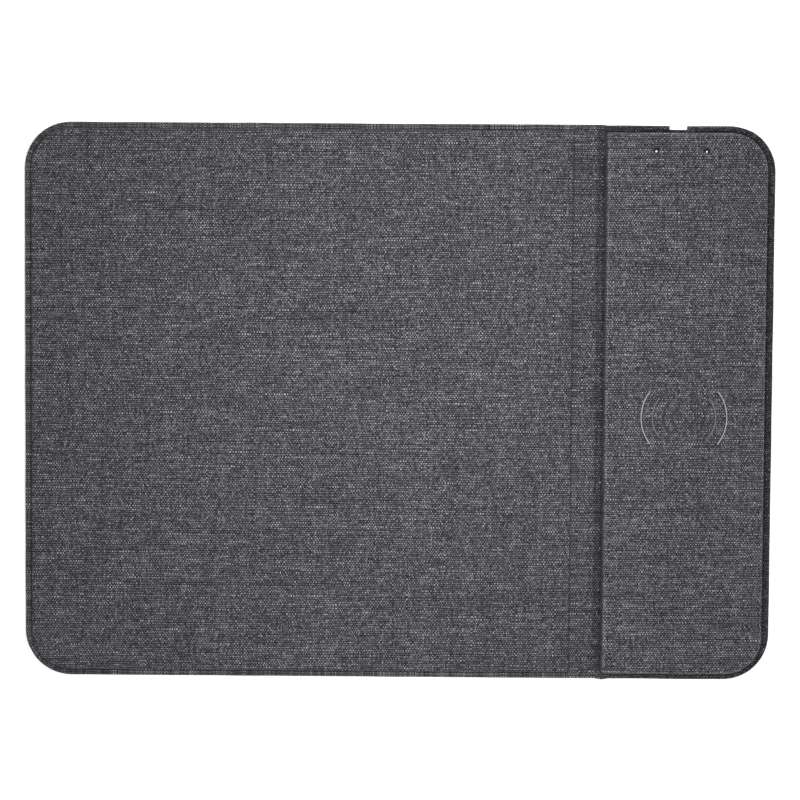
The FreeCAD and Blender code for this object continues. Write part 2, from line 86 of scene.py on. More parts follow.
# ---------------------------------------------------------------- driving dimensions
CORNER_R = 17.5
COVER_T = 0.8                    # of the cloth covers
FLANGE_TOP = 1.4                 # top of the pressed edge
FLANGE = 2.1                     # width of the mat's pressed edge
CREASE_X = 66.4                  # foot of the mat's padding beside the web
CREASE_BEFORE, CREASE_RUN = 1.2, 1.6        # the cover rises to the web from here, over this width
CREASE_PRESS_BEFORE, CREASE_PRESS_RUN = 0.6, 1.2    # the same for how hard it is pressed
PAD_RIGHT_R = 1.2                # the padding's corners beside the web
GROOVE_X, GROOVE_RUN = 75.0, 0.8            # where the web drops to the groove, over this width
PANEL_LEFT_R, PANEL_RIGHT_R = 1.5, 14.8     # the corners of the panel's wall
CASE_TO_WALL = 0.9               # from the case to the foot of the cloth wall round it
WALL_EDGE_R, WALL_EDGE_STEP = 1.3, 15       # the wall's rounded top edge, in steps of so many degrees
ONTO_TOP = 0.8                   # how far the wall's section runs on onto the flat top
WALL_LEAN = 0.55                 # how far the wall leans in below that edge
MAT_RIPPLE, PANEL_RIPPLE, RIPPLE_LENGTH = 0.09, 0.03, 24.0      # unevenness of the flat tops

NOTCH_W, NOTCH_DEPTH = 6.7, 1.5             # the notch in the rear edge for the plug
NOTCH_REAR_STEP = 0.25           # the panel's rear edge stands this far in from the mat's
NOTCH_STEP_AFTER, NOTCH_STEP_RUN = 2.0, 1.6  # where it steps in, beyond the groove
SOCKET_BODY_W, WINDOW_ROOM = 7.5, 0.15      # the socket's width, and the room round it in the cover
CUT_PAST, CUT_ROOM = 5.0, 1.0    # how far the cuts reach beyond the rear edge, and above and below it

BULGE, BULGE_X, BULGE_W = 0.45, 78.6, 1.5   # cloth squeezed out at the groove's front end
EDGE_ZONE, EDGE_RUN = 3.0, 2.6   # how near the outer edge points wander, and how softly that starts
WANDER, WANDER_LENGTH, WANDER_SEED = 0.1, 14.0, 3.7

BEND = 3.0                       # how much of the web each fold bends
STEP = 1.2                       # mesh spacing along the rows
WEB_STEP = 0.3                   # mesh spacing across the web, where it bends
WEB_HALF = 5.5                   # half the width with that spacing
FIELD_STEP = 2.6                 # mesh spacing in the flat fields
SHARP_DEGREES = 50               # edges that turn more than this are sharp
STAGGER, CLEAR_SHARE = 0.25, 0.6            # of a field's spacing, between columns and to other points
SMALLEST_R = 0.35                # of a corner, however far it is inset

LED_HOLE_R = 0.875
# The wall of an indicator hole, down from its rim: how far out from the hole, how far down.
LED_HOLE_RIM = 0.25
LED_HOLE_SECTION = [(0.12, 0.03), (0.03, 0.1), (0.0, 0.22), (0.0, COVER_T)]
LID_T = 0.8                      # the case's lid, which a light pipe's flange stands under
TIP_R = 0.39                     # the end of a light pipe, narrower than its hole
TIP_SHIFT = Vector((0.05, -0.32, 0.0))      # it stands towards the front of the hole
FROSTED, DOME = 0.12, 0.1        # height of the frosted end, and of the dome on it
DOME_SHARES = (0.94, 0.8, 0.6, 0.4, 0.2)    # the dome's rings, as shares of the tip's radius
LENS_SIDES = 40

# The pressed arcs: radius, half angle in degrees, and the painted highlight on the ironed line, painted shade
# where it is below 0.
ARCS = [(16.2, 37.5, 1.15), (11.9, 38.0, 0.6), (7.9, 49.0, -0.4), (4.5, 50.0, -0.3)]
# Their section: distance from the line, height, how far it is ironed smooth, which also scales the painted shade
# beside the line.
ARC_SECTION = [(0.0, -0.26, 1.0), (0.12, -0.24, 1.0), (0.25, -0.1, 0.7), (0.42, -0.01, 0.25),
               (0.6, 0.0, 0.0)]
ARC_STEP, ARC_END_STEPS = 0.5, 7            # mesh spacing along an arc, and points round its end

# The section of a pressed edge, from the base sheet up: inset, share of the cover's height there.
EDGE_SECTION = [(0.0, 0.0), (0.0, 0.5), (0.05, 0.8), (0.18, 0.96), (0.4, 1.0)]
# The section of a base sheet's edge: inset, height, how smooth it is.
BASE_SECTION = [(0.55, 0.0, 0.0), (0.45, 0.005, 1.0), (0.14, 0.07, 1.0), (0.0, 0.25, 1.0),
                (0.0, BASE_TOP, 1.0)]
# The sections of the padding's edge and of the panel's wall, from outside the foot crease to the flat
# top: distance in from the foot, share of the rise, and how much darker the cloth is there: pressed, and with
# painted shade in the foot crease.
PAD_SECTION = [(-0.8, 0.0, 0.0), (-0.5, -0.02, 0.0), (-0.25, -0.07, 0.1), (-0.05, -0.1, 0.2),
               (0.1, -0.07, 0.3), (0.22, 0.06, 0.3), (0.34, 0.3, 0.2), (0.46, 0.53, 0.1),
               (0.6, 0.72, 0.0), (0.8, 0.86, 0.0), (1.05, 0.945, 0.0), (1.35, 0.985, 0.0),
               (1.7, 1.0, 0.0), (2.4, 1.0, 0.0)]
WALL_FOOT_SECTION = [(-0.9, 0.0, 0.0), (-0.55, -0.012, 0.1), (-0.28, -0.035, 0.3), (-0.06, -0.048, 0.6),
                     (0.06, -0.03, 0.5), (0.13, 0.04, 1.1), (0.19, 0.14, 1.0), (0.28, 0.32, 0.7),
                     (0.38, 0.5, 0.4), (0.47, 0.65, 0.1)]

# ---------------------------------------------------------------- how hard the cloth is pressed, with painted shade and highlight
# Above 0 the cloth is darker, and below 0 it is paler: pressed cloth, painted shade and painted highlight.
MAT_PRESSED, WEB_PRESSED = 0.15, 0.1        # on the mat's pressed edge and on the web
GROOVE_PRESS_AND_SHADE, FRONT_GROOVE_LIGHTER = 1.3, 0.85  # more in the groove, pressed and with painted shade at the wall's foot, but less of it at the front edge
RIGHT_PAINTED_SHADE = 0.2              # painted shade at the right edge
EDGE_SHADE_ZONE, EDGE_SHADE_RUN = 4.0, 2.0            # how near those edges, and how softly it starts
HOLE_PAINTED_SHADE = 4.0               # painted shade on the walls of the indicator holes
ARC_INSIDE_PAINTED_SHADE, ARC_OUTSIDE_PAINTED_SHADE = 3.6, 0.3      # painted shade beside an arc, towards the coil and away
ARC_PAINTED_LIGHT = -3.2                  # painted highlight on an arc's line, painted shade where the arc's entry is below 0
WALL_EDGE_PAINTED_HIGHLIGHT = -1.0            # painted highlight half way round the wall's top edge

# ---------------------------------------------------------------- the weave
WARP_PITCH, WEFT_PITCH = 0.51, 0.765
UNEVEN, UNEVEN_NEAR, UNEVEN_FAR = 0.7, 2.5, 35.0    # how far threads stray, and over what distances
OVER_FROM, OVER_TO = -0.3, 0.45  # where the weft starts to show over the warp, and shows alone
# The yarns' lightness, as natural logarithms.
WEFT_LOG, WARP_LOG = -2.05, -3.1
LIGHTEST_LOG, IRONED_LOG = -1.25, -2.75
# How it varies along a yarn: over how many millimetres, and how much.
WEFT_VARIES = [(0.36, 5.5), (60.0, 1.2)]
WARP_VARIES = [(0.45, 5.0), (60.0, 1.5)]
YARN_SEED, SLUB_SEED = 3.7, 4.0
YARNS_APART, SLUBS_APART = 7.31, 3.77       # from one yarn to the next, in the noise that varies them
# Slubs, the thick and light stretches: their length, and how much lighter they are.
SLUB_LENGTH, WEFT_SLUB, WARP_SLUB = 7.0, 1.1, 0.6
SLUB_FROM, SLUB_TO = 0.56, 0.8   # the noise where a slub starts, and where it is full
FIBRE, FIBRE_LENGTH, FIBRE_WIDTH = 0.4, 0.6, 0.06
FLECK, FLECK_SIZE = 0.9, 0.3
CLOUD, CLOUD_SIZE = 0.05, 25.0
ROW_GAP_SHADE, GAP_EDGE = 1.5, 0.2     # how much darker painted shade makes the gap between two rows, and where it ends
# How much darker a unit of pressing or of painted shade makes the cloth; below 0 it is painted highlight.
PRESS_AND_LIGHT_DARKER = 0.45
CLOTH_ROUGH, PRESSED_ROUGH, IRONED_ROUGH = 0.85, 0.65, 0.4
PRESSED_RELIEF, IRONED_RELIEF = 0.45, 0.2   # how much of the weave's relief stays
PRESS_TO_SMOOTH, PRESS_TO_FLATTEN = 1.6, 1.5        # how hard a press these take
NOISE_LOW, NOISE_HIGH = 0.25, 0.75          # nearly all noise lies between these
YARN_TINT = (0.985, 0.985, 1.08)
THREAD_ROUND, FIBRE_HEIGHT, WEAVE_DEPTH = 0.6, 0.5, 0.09

GRID_PITCH = 1.5                 # the rubber's diamond grid
GLASS_PITCH = 0.45               # the glass weave in the circuit board


def wall_section():
    """The panel's wall with its rounded top edge, which carries a painted highlight."""
    rise = PANEL_HIGH.z - FLANGE_TOP
    section = list(WALL_FOOT_SECTION)
    for degrees in range(0, 91, WALL_EDGE_STEP):
        angle = math.radians(degrees)
        inset = WALL_LEAN + WALL_EDGE_R * (1 - math.cos(angle))
        share = 1 - WALL_EDGE_R * (1 - math.sin(angle)) / rise
        section.append((inset, share, WALL_EDGE_PAINTED_HIGHLIGHT * math.sin(2 * angle)))
    return section + [(WALL_LEAN + WALL_EDGE_R + ONTO_TOP, 1.0, 0.0)]


def ease(t):
    t = np.clip(t, 0, 1)
    return t * t * (3 - 2 * t)


# ---------------------------------------------------------------- rows of points
class Outline:
    """A rounded rectangle in plan.  Its insets all have the same number of points, counterclockwise.

    radii are those of the front-right, rear-right, rear-left and front-left corners.  fixed names the side
    at the seam in the web, which an inset leaves where it is, and near which the points are closer.
    """

    def __init__(self, x0, x1, y0, y1, radii, fixed=None):
        self.ends = x0, x1, y0, y1
        self.radii = radii
        self.moves = {side: 0.0 if side == fixed else 1.0 for side in ("left", "right", "front", "rear")}
        runs = [y1 - y0 - radii[0] - radii[1], x1 - x0 - radii[1] - radii[2],
                y1 - y0 - radii[2] - radii[3], x1 - x0 - radii[3] - radii[0]]
        self.shares = [np.linspace(0, 1, round(run / STEP) + 1)[1:-1] for run in runs]
        if fixed:
            for k in (1, 3):
                near = np.arange(WEB_STEP, WEB_HALF, WEB_STEP)
                far = np.linspace(WEB_HALF, runs[k], round((runs[k] - WEB_HALF) / STEP) + 1)[:-1]
                from_seam = np.concatenate([near, far]) / runs[k]
                starts_at_seam = (fixed == "right") == (k == 1)
                self.shares[k] = from_seam if starts_at_seam else 1 - from_seam[::-1]
        self.arc_steps = [0 if r == 0 else max(8, round(r * math.pi / 2 / STEP)) for r in radii]

    def at(self, inset):
        x0, x1, y0, y1 = self.ends
        x0, x1 = x0 + inset * self.moves["left"], x1 - inset * self.moves["right"]
        y0, y1 = y0 + inset * self.moves["front"], y1 - inset * self.moves["rear"]
        arcs = []
        corners = [(x1, y0, 1, -1), (x1, y1, 1, 1), (x0, y1, -1, 1), (x0, y0, -1, -1)]
        for k, (x, y, sx, sy) in enumerate(corners):
            radius = max(self.radii[k] - inset, SMALLEST_R) if self.radii[k] else 0.0
            angles = math.pi / 2 * (k - 1 + np.linspace(0, 1, self.arc_steps[k] + 1))
            arcs.append(np.stack([x - sx * radius + radius * np.cos(angles),
                                  y - sy * radius + radius * np.sin(angles)], axis=1))
        rows = []
        for k, arc in enumerate(arcs):
            share = self.shares[k][:, None]
            rows += [arc, arc[-1] * (1 - share) + arcs[(k + 1) % 4][0] * share]
        return np.concatenate(rows)


def circle(centre, radius, count=32):
    angles = np.linspace(0, 2 * math.pi, count, endpoint=False)
    return np.stack([centre.x + radius * np.cos(angles), centre.y + radius * np.sin(angles)], axis=1)


def polar(radius, angles):
    return np.stack([radius * np.cos(angles), radius * np.sin(angles)], axis=1)


def round_an_arc(centre, radius, half_angle, facing, offset):
    """The closed line at this distance from an arc, or the arc itself where the distance is 0."""
    half = math.radians(half_angle)
    count = max(10, round(2 * half * radius / ARC_STEP))
    along = np.linspace(-half, half, count) + facing
    middle = np.array([centre.x, centre.y])
    if offset == 0:
        return middle + polar(radius, along)
    turn = np.linspace(0, math.pi, ARC_END_STEPS)[1:-1]
    last_end = polar(radius, along[-1:]) + polar(offset, along[-1] + turn)
    first_end = polar(radius, along[:1]) + polar(offset, along[0] + turn + math.pi)
    return middle + np.concatenate([polar(radius + offset, along), last_end,
                                    polar(radius - offset, along[::-1]), first_end])


def inside(points, loop):
    """Whether each point lies inside the closed loop."""
    x, y = points.T
    result = np.zeros(len(points), bool)
    for (ax, ay), (bx, by) in zip(loop, np.roll(loop, -1, axis=0)):
        if ay != by:
            crosses = (ay > y) != (by > y)
            result ^= crosses & (x < ax + (y - ay) * (bx - ax) / (by - ay))
    return result


def field(outer, holes, near, step_x, step_y):
    """Staggered points over the region inside outer and outside the holes, clear of the points in near."""
    (x0, y0), (x1, y1) = outer.min(axis=0), outer.max(axis=0)
    columns = np.linspace(x0, x1, max(2, round((x1 - x0) / step_x)) + 1)[1:-1]
    rows = np.linspace(y0, y1, max(2, round((y1 - y0) / step_y)) + 1)[1:-1]
    x, y = np.meshgrid(columns, rows)
    y = y + np.where(np.arange(len(columns)) % 2, STAGGER, -STAGGER) * (rows[1] - rows[0])
    points = np.stack([x.ravel(), y.ravel()], axis=1)
    keep = inside(points, outer)
    for hole in holes:
        keep &= ~inside(points, hole)
    tree = KDTree(len(near))
    for i, (px, py) in enumerate(near):
        tree.insert((px, py, 0), i)
    tree.balance()
    clear = CLEAR_SHARE * min(step_x, step_y)
    return np.array([p for p in points[keep] if tree.find((p[0], p[1], 0))[2] > clear]).reshape(-1, 2)


class Skin:
    """A mesh in the making: points, faces, where each face corner lies on the uncut cloth, and at each
    point how much pressing and painted shade darken the cloth or painted highlight lightens it, and how far it is
    ironed smooth."""

    def __init__(self):
        self.points = np.zeros((0, 3))
        self.press_and_painted_light = np.zeros(0)
        self.ironed = np.zeros(0)
        self.faces = []
        self.cloth = []

    def plan(self, row):
        return self.points[row, :2]

    def row(self, plan, z, press_and_painted_light=0.0, ironed=0.0):
        first = len(self.points)
        new = np.column_stack([plan, np.broadcast_to(z, len(plan))])
        self.points = np.concatenate([self.points, new])
        self.press_and_painted_light = np.concatenate([self.press_and_painted_light, np.broadcast_to(press_and_painted_light, len(plan))])
        self.ironed = np.concatenate([self.ironed, np.broadcast_to(ironed, len(plan))])
        return np.arange(first, len(self.points))

    def band(self, outer, inner, outer_cloth=None, inner_cloth=None, up=True):
        """Quads between two closed rows, facing up or out for counterclockwise rows."""
        outer_cloth = self.plan(outer) if outer_cloth is None else outer_cloth
        inner_cloth = self.plan(inner) if inner_cloth is None else inner_cloth
        count = len(outer)
        for i in range(count):
            j = (i + 1) % count
            face = (outer[i], outer[j], inner[j], inner[i])
            cloth = (outer_cloth[i], outer_cloth[j], inner_cloth[j], inner_cloth[i])
            self.faces.append(face if up else face[::-1])
            self.cloth.append(cloth if up else cloth[::-1])

    def bands(self, rows, cloths):
        for k in range(len(rows) - 1):
            self.band(rows[k], rows[k + 1], cloths[k], cloths[k + 1])

    def fill(self, outer, holes=(), lines=(), extra=(), up=True):
        """Triangles inside the outer row and outside the holes, along the lines, through the extra points.

        lines holds pairs of a row and whether it is closed.
        """
        edges = []
        index = []
        for row, closed in [(outer, True)] + [(hole, True) for hole in holes] + list(lines):
            first = len(index)
            count = len(row)
            edges += [(first + i, first + (i + 1) % count) for i in range(count if closed else count - 1)]
            index += list(row)
        index = np.array(index + list(extra))
        plan = self.plan(index)
        _, _, found, sources, _, _ = delaunay_2d_cdt([Vector(p) for p in plan], edges, [], 0, 1e-7, True)
        triangles = np.array([[sources[corner][0] for corner in face] for face in found])
        corners = plan[triangles]
        middle = corners.mean(axis=1)
        keep = inside(middle, self.plan(outer))
        for hole in holes:
            keep &= ~inside(middle, self.plan(hole))
        side = corners[:, 1:] - corners[:, :1]
        turn = side[:, 0, 0] * side[:, 1, 1] - side[:, 0, 1] * side[:, 1, 0]
        for triangle, signed in zip(triangles[keep], turn[keep]):
            triangle = triangle if (signed > 0) == up else triangle[::-1]
            self.faces.append(tuple(index[triangle]))
            self.cloth.append(tuple(plan[triangle]))

    def make(self, name, wander=True):
        """The finished object, in metres."""
        mesh = bpy.data.meshes.new(name)
        points = settle(self.points) if wander else self.points
        mesh.from_pydata((points * MM).tolist(), [], [tuple(map(int, f)) for f in self.faces])
        cloth = np.concatenate([np.array(c) for c in self.cloth]) * MM
        mesh.uv_layers.new(name="cloth").data.foreach_set("uv", cloth.astype(np.float32).ravel())
        for attribute, values in (("press_and_painted_light", self.press_and_painted_light), ("ironed", self.ironed)):
            data = mesh.attributes.new(attribute, "FLOAT", "POINT").data
            data.foreach_set("value", values.astype(np.float32))
        piece = bpy.data.objects.new(name, mesh)
        bpy.context.scene.collection.objects.link(piece)
        return piece


def settle(points):
    """Moves the points of the outer edges: the rear step beside the panel, the squeezed-out bulge at the
    groove's front end, and a slight wander everywhere along the edge."""
    x, y, z = points.T.copy()
    at_rear = ease((y - REAR + EDGE_ZONE) / EDGE_RUN)
    at_front = ease((FRONT + EDGE_ZONE - y) / EDGE_RUN)
    at_end = np.maximum(ease((MAT_LOW.x + EDGE_ZONE - x) / EDGE_RUN),
                        ease((x - PANEL_HIGH.x + EDGE_ZONE) / EDGE_RUN))
    y -= NOTCH_REAR_STEP * ease((x - GROOVE_X - NOTCH_STEP_AFTER) / NOTCH_STEP_RUN) * at_rear
    y -= BULGE * np.exp(-(((x - BULGE_X) / BULGE_W) ** 2)) * at_front
    drift = np.array([noise.noise(Vector((px / WANDER_LENGTH, py / WANDER_LENGTH, WANDER_SEED)))
                      for px, py in zip(x, y)])
    y += WANDER * drift * (at_rear + at_front)
    x += WANDER * drift * at_end
    return np.column_stack([x, y, z])


# ---------------------------------------------------------------- the cloth covers
def mat_height(plan):
    """The cover's height beside the mat's padding: the pressed edge, rising to the web."""
    return FLANGE_TOP + (WEB_TOP - FLANGE_TOP) * ease((plan[:, 0] - CREASE_X + CREASE_BEFORE) / CREASE_RUN)


def panel_height(plan):
    """The cover's height beside the panel: the web, then the pressed groove and edge."""
    return WEB_TOP - (WEB_TOP - FLANGE_TOP) * ease((plan[:, 0] - GROOVE_X) / GROOVE_RUN + 0.5)


def mat_pressed(plan):
    on_web = ease((plan[:, 0] - CREASE_X + CREASE_PRESS_BEFORE) / CREASE_PRESS_RUN)
    return MAT_PRESSED - (MAT_PRESSED - WEB_PRESSED) * on_web


# Darker in the groove, pressed and with painted shade at the foot of the panel's wall, less so at the front edge.
def panel_press_and_shade(plan):
    in_groove = ease((plan[:, 0] - GROOVE_X) / GROOVE_RUN + 0.5)
    # Painted shade along the right edge.
    at_right = ease((plan[:, 0] - PANEL_HIGH.x + EDGE_SHADE_ZONE) / EDGE_SHADE_RUN)
    at_front = ease((FRONT + EDGE_SHADE_ZONE - plan[:, 1]) / EDGE_SHADE_RUN) * (1 - at_right)
    in_groove *= 1 - FRONT_GROOVE_LIGHTER * at_front
    return WEB_PRESSED + GROOVE_PRESS_AND_SHADE * in_groove + RIGHT_PAINTED_SHADE * at_right


def section_length(section, rise):
    """Distance along a section from each of its points to its last one."""
    steps = [math.hypot(b[0] - a[0], (b[1] - a[1]) * rise) for a, b in zip(section, section[1:])]
    return np.append(np.cumsum(steps[::-1])[::-1], 0.0)


def outer_edge(skin, outline, height, press_and_painted_light):
    """The cover's outer edge, and its lowest and highest row."""
    rows = []
    cloths = []
    for (inset, share), length in zip(EDGE_SECTION, section_length(EDGE_SECTION, FLANGE_TOP - BASE_TOP)):
        plan = outline.at(inset)
        rows.append(skin.row(plan, BASE_TOP + share * (height(plan) - BASE_TOP), press_and_painted_light(plan)))
        cloths.append(outline.at(EDGE_SECTION[-1][0] - length))
    skin.bands(rows, cloths)
    return rows[0], rows[-1]


def block_edge(skin, block, section, top, height, press_and_painted_light):
    """The raised block's edge, unfolded from its flat top for the weave, and its first and last row."""
    rows = []
    cloths = []
    for (inset, share, press_and_light), length in zip(section, section_length(section, top - FLANGE_TOP)):
        plan = block.at(inset)
        ground = height(plan)
        if share <= 0:
            press_and_light = press_and_light + press_and_painted_light(plan)
        rows.append(skin.row(plan, ground + share * (top - ground), press_and_light))
        cloths.append(block.at(section[-1][0] - length))
    skin.bands(rows, cloths)
    return rows[0], rows[-1]


def arc_lines(skin, arcs, top):
    """The pressed arcs, to both sides of the coil, with painted highlight and painted shade: pairs of a row and
    whether it is closed.
    """
    lines = []
    for radius, half_angle, pale in arcs:
        for facing in (0, math.pi):
            for offset, height, ironed in ARC_SECTION:
                line = round_an_arc(COIL, radius, half_angle, facing, offset)
                from_centre = np.hypot(line[:, 0] - COIL.x, line[:, 1] - COIL.y)
                beside = np.where(from_centre < radius, ARC_INSIDE_PAINTED_SHADE, ARC_OUTSIDE_PAINTED_SHADE)
                press_and_light = ARC_PAINTED_LIGHT * pale if ironed == 1 else beside * ironed
                lines.append((skin.row(line, top + height, press_and_light, ironed), offset > 0))
    return lines


def make_cover(name, outline, block, section, top, height, press_and_painted_light, ripple, holes=(), arcs=()):
    """A cloth cover: a pressed edge and web round a raised block, closed below as a shell."""
    skin = Skin()
    low_edge, high_edge = outer_edge(skin, outline, height, press_and_painted_light)
    foot, rim = block_edge(skin, block, section, top, height, press_and_painted_light)

    # The flat cover between the edge and the block.
    outer, inner = skin.plan(high_edge), skin.plan(foot)
    spots = field(outer, [inner], np.concatenate([outer, inner]), WEB_STEP, STEP)
    skin.fill(high_edge, holes=[foot], extra=skin.row(spots, height(spots), press_and_painted_light(spots)))

    # The flat top, with its holes and pressed arcs.
    hole_rims = [skin.row(circle(place, LED_HOLE_R + LED_HOLE_RIM), top) for place in holes]
    lines = arc_lines(skin, arcs, top)
    near = [skin.plan(row) for row in [rim, *hole_rims, *(line for line, _ in lines)]]
    spots = field(skin.plan(rim), [skin.plan(h) for h in hole_rims], np.concatenate(near),
                  FIELD_STEP, FIELD_STEP)
    heights = [top + ripple * noise.noise(Vector((x / RIPPLE_LENGTH, y / RIPPLE_LENGTH, 0.0)))
               for x, y in spots]
    skin.fill(rim, holes=hole_rims, lines=lines, extra=skin.row(spots, heights))

    # The walls of the holes, down to the inside of the cover, dark with painted shade.
    hole_feet = []
    for place, last in zip(holes, hole_rims):
        for radius, drop in LED_HOLE_SECTION:
            row = skin.row(circle(place, LED_HOLE_R + radius), top - drop, HOLE_PAINTED_SHADE)
            skin.band(last, row)
            last = row
        hole_feet.append(last)

    # The inside of the shell.
    inner_foot = skin.row(block.at(COVER_T), BASE_TOP)
    ceiling = skin.row(block.at(COVER_T + WALL_LEAN), top - COVER_T)
    spots = field(skin.plan(low_edge), [block.at(-WEB_STEP)], skin.plan(low_edge), WEB_STEP, STEP)
    skin.fill(low_edge, holes=[inner_foot], extra=skin.row(spots, BASE_TOP), up=False)
    skin.band(inner_foot, ceiling, up=False)
    skin.fill(ceiling, holes=hole_feet, up=False)
    return skin.make(name)


def make_base(name, outline):
    """A base sheet with softened lower edges."""
    skin = Skin()
    rows = [skin.row(outline.at(inset), z, ironed=smooth) for inset, z, smooth in BASE_SECTION]
    lengths = section_length([row[:2] for row in BASE_SECTION], 1.0)
    skin.bands(rows, [outline.at(BASE_SECTION[0][0] + length - lengths[0]) for length in lengths])
    plan = skin.plan(rows[0])
    spots = field(plan, [], plan, FIELD_STEP, FIELD_STEP)
    columns = field(plan, [], plan, WEB_STEP, STEP)
    spots = np.concatenate([spots[np.abs(spots[:, 0] - SEAM_X) > WEB_HALF],
                            columns[np.abs(columns[:, 0] - SEAM_X) <= WEB_HALF]])
    skin.fill(rows[0], extra=skin.row(spots, 0.0), up=False)
    skin.fill(rows[-1], extra=skin.row(spots, BASE_TOP))
    return skin.make(name)


def make_lens(name, node):
    """A clear light pipe: a flange under the case's lid, a rod through it, and a narrower tip whose
    slightly domed end is frosted."""
    low, high = box_mm(node)
    centre = (low + high) / 2
    flange_r = (high.x - low.x) / 2
    rod_r = flange_r / 2
    tip = centre + TIP_SHIFT
    lid_bottom = LID_TOP - LID_T
    body = [(centre, rod_r, low.z), (centre, flange_r, low.z), (centre, flange_r, lid_bottom),
            (centre, rod_r, lid_bottom), (centre, rod_r, LID_TOP),
            (tip, TIP_R, LID_TOP), (tip, TIP_R, high.z - 2 * FROSTED)]
    end = [(TIP_R, high.z - FROSTED)]
    end += [(TIP_R * share, high.z - DOME * share ** 2) for share in DOME_SHARES]
    skin = Skin()
    rows = [skin.row(circle(place, radius, LENS_SIDES), z) for place, radius, z in body]
    rows += [skin.row(circle(tip, radius, LENS_SIDES), z, ironed=1.0) for radius, z in end]
    for low_row, high_row in zip(rows, rows[1:]):
        skin.band(low_row, high_row)
    skin.fill(rows[0], up=False)
    skin.fill(rows[-1])
    return skin.make(name, wander=False)


def cut_away(piece, name, low, high):
    """Cuts a box out of the piece, and gives the cut faces their place on the cloth."""
    (x0, y0, z0), (x1, y1, z1) = low, high
    corners = [(x * MM, y * MM, z * MM) for x in (x0, x1) for y in (y0, y1) for z in (z0, z1)]
    faces = [(0, 1, 3, 2), (4, 6, 7, 5), (0, 4, 5, 1), (2, 3, 7, 6), (0, 2, 6, 4), (1, 5, 7, 3)]
    mesh = bpy.data.meshes.new(name)
    mesh.from_pydata(corners, [], faces)
    cutter = bpy.data.objects.new(name, mesh)
    bpy.context.scene.collection.objects.link(cutter)
    modifier = piece.modifiers.new(name, "BOOLEAN")
    modifier.operation = "DIFFERENCE"
    modifier.solver = "EXACT"
    modifier.object = cutter
    apply_modifiers(piece)
    bpy.data.objects.remove(cutter)
    cloth = piece.data.uv_layers["cloth"].data
    for loop in piece.data.loops:
        if cloth[loop.index].uv.length == 0:
            cloth[loop.index].uv = piece.data.vertices[loop.vertex_index].co.xy


def apply_modifiers(piece):
    graph = bpy.context.evaluated_depsgraph_get()
    mesh = bpy.data.meshes.new_from_object(piece.evaluated_get(graph), depsgraph=graph)
    piece.modifiers.clear()
    piece.data = mesh


def finish_mesh(piece):
    piece.data.polygons.foreach_set("use_smooth", [True] * len(piece.data.polygons))
    piece.data.set_sharp_from_angle(angle=math.radians(SHARP_DEGREES))
    piece.data.update()


mat_outline = Outline(MAT_LOW.x, SEAM_X, FRONT, REAR, (0, 0, CORNER_R, CORNER_R), fixed="right")
panel_outline = Outline(SEAM_X, PANEL_HIGH.x, FRONT, REAR, (CORNER_R, CORNER_R, 0, 0), fixed="left")
pad_block = Outline(MAT_LOW.x + FLANGE, CREASE_X, FRONT + FLANGE, REAR - FLANGE,
                    (PAD_RIGHT_R, PAD_RIGHT_R, CORNER_R - FLANGE, CORNER_R - FLANGE))
panel_block = Outline(CASE_LOW.x - CASE_TO_WALL, CASE_HIGH.x + CASE_TO_WALL,
                      CASE_LOW.y - CASE_TO_WALL, CASE_HIGH.y + CASE_TO_WALL,
                      (PANEL_RIGHT_R, PANEL_RIGHT_R, PANEL_LEFT_R, PANEL_LEFT_R))

mat_cover = make_cover("mat_cover", mat_outline, pad_block, PAD_SECTION, MAT_HIGH.z,
                       mat_height, mat_pressed, MAT_RIPPLE)
panel_cover = make_cover("panel_cover", panel_outline, panel_block, wall_section(), PANEL_HIGH.z,
                         panel_height, panel_press_and_shade, PANEL_RIPPLE, holes=list(LENSES.values()), arcs=ARCS)
mat_base = make_base("mat_base", mat_outline)
panel_base = make_base("panel_base", panel_outline)

socket_x = (SOCKET_LOW.x + SOCKET_HIGH.x) / 2
notch_floor = REAR - NOTCH_REAR_STEP - NOTCH_DEPTH
for cut in (panel_cover, panel_base):
    cut_away(cut, "notch", (socket_x - NOTCH_W / 2, notch_floor, -CUT_ROOM),
             (socket_x + NOTCH_W / 2, REAR + CUT_PAST, FLANGE_TOP + CUT_ROOM))
half_window = SOCKET_BODY_W / 2 + WINDOW_ROOM
cut_away(panel_cover, "window", (socket_x - half_window, SOCKET_LOW.y, SOCKET_LOW.z - WINDOW_ROOM),
         (socket_x + half_window, REAR + CUT_PAST, SOCKET_HIGH.z + WINDOW_ROOM))

lenses = {node: make_lens(node.replace("light_pipe", "lens"), node) for node in LENSES}
for piece in (mat_cover, panel_cover, mat_base, panel_base, *lenses.values()):
    finish_mesh(piece)

# ---------------------------------------------------------------- the new pieces' frames, the CAD parts they replace hidden, and the lenses on the charger
FOLD_ZONES = [(mat_cover, "mat", "spine", FOLDS["mat_fold"], FOLDS["mat_fold"] + BEND),
              (mat_base, "mat", "spine", FOLDS["mat_fold"], FOLDS["mat_fold"] + BEND),
              (panel_cover, "spine", "charger", FOLDS["panel_fold"] - BEND, FOLDS["panel_fold"]),
              (panel_base, "spine", "charger", FOLDS["panel_fold"] - BEND, FOLDS["panel_fold"])]
for piece, body_a, body_b, start_x, end_x in FOLD_ZONES:
    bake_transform(piece)

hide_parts("mat_top_cover", "spine_top_cover")
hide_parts("charger_top_cover")
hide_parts("mat_base_cover", "spine_base_cover")
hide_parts("charger_base_cover")
for node, lens in lenses.items():
    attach(lens, "charger")
    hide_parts(node)


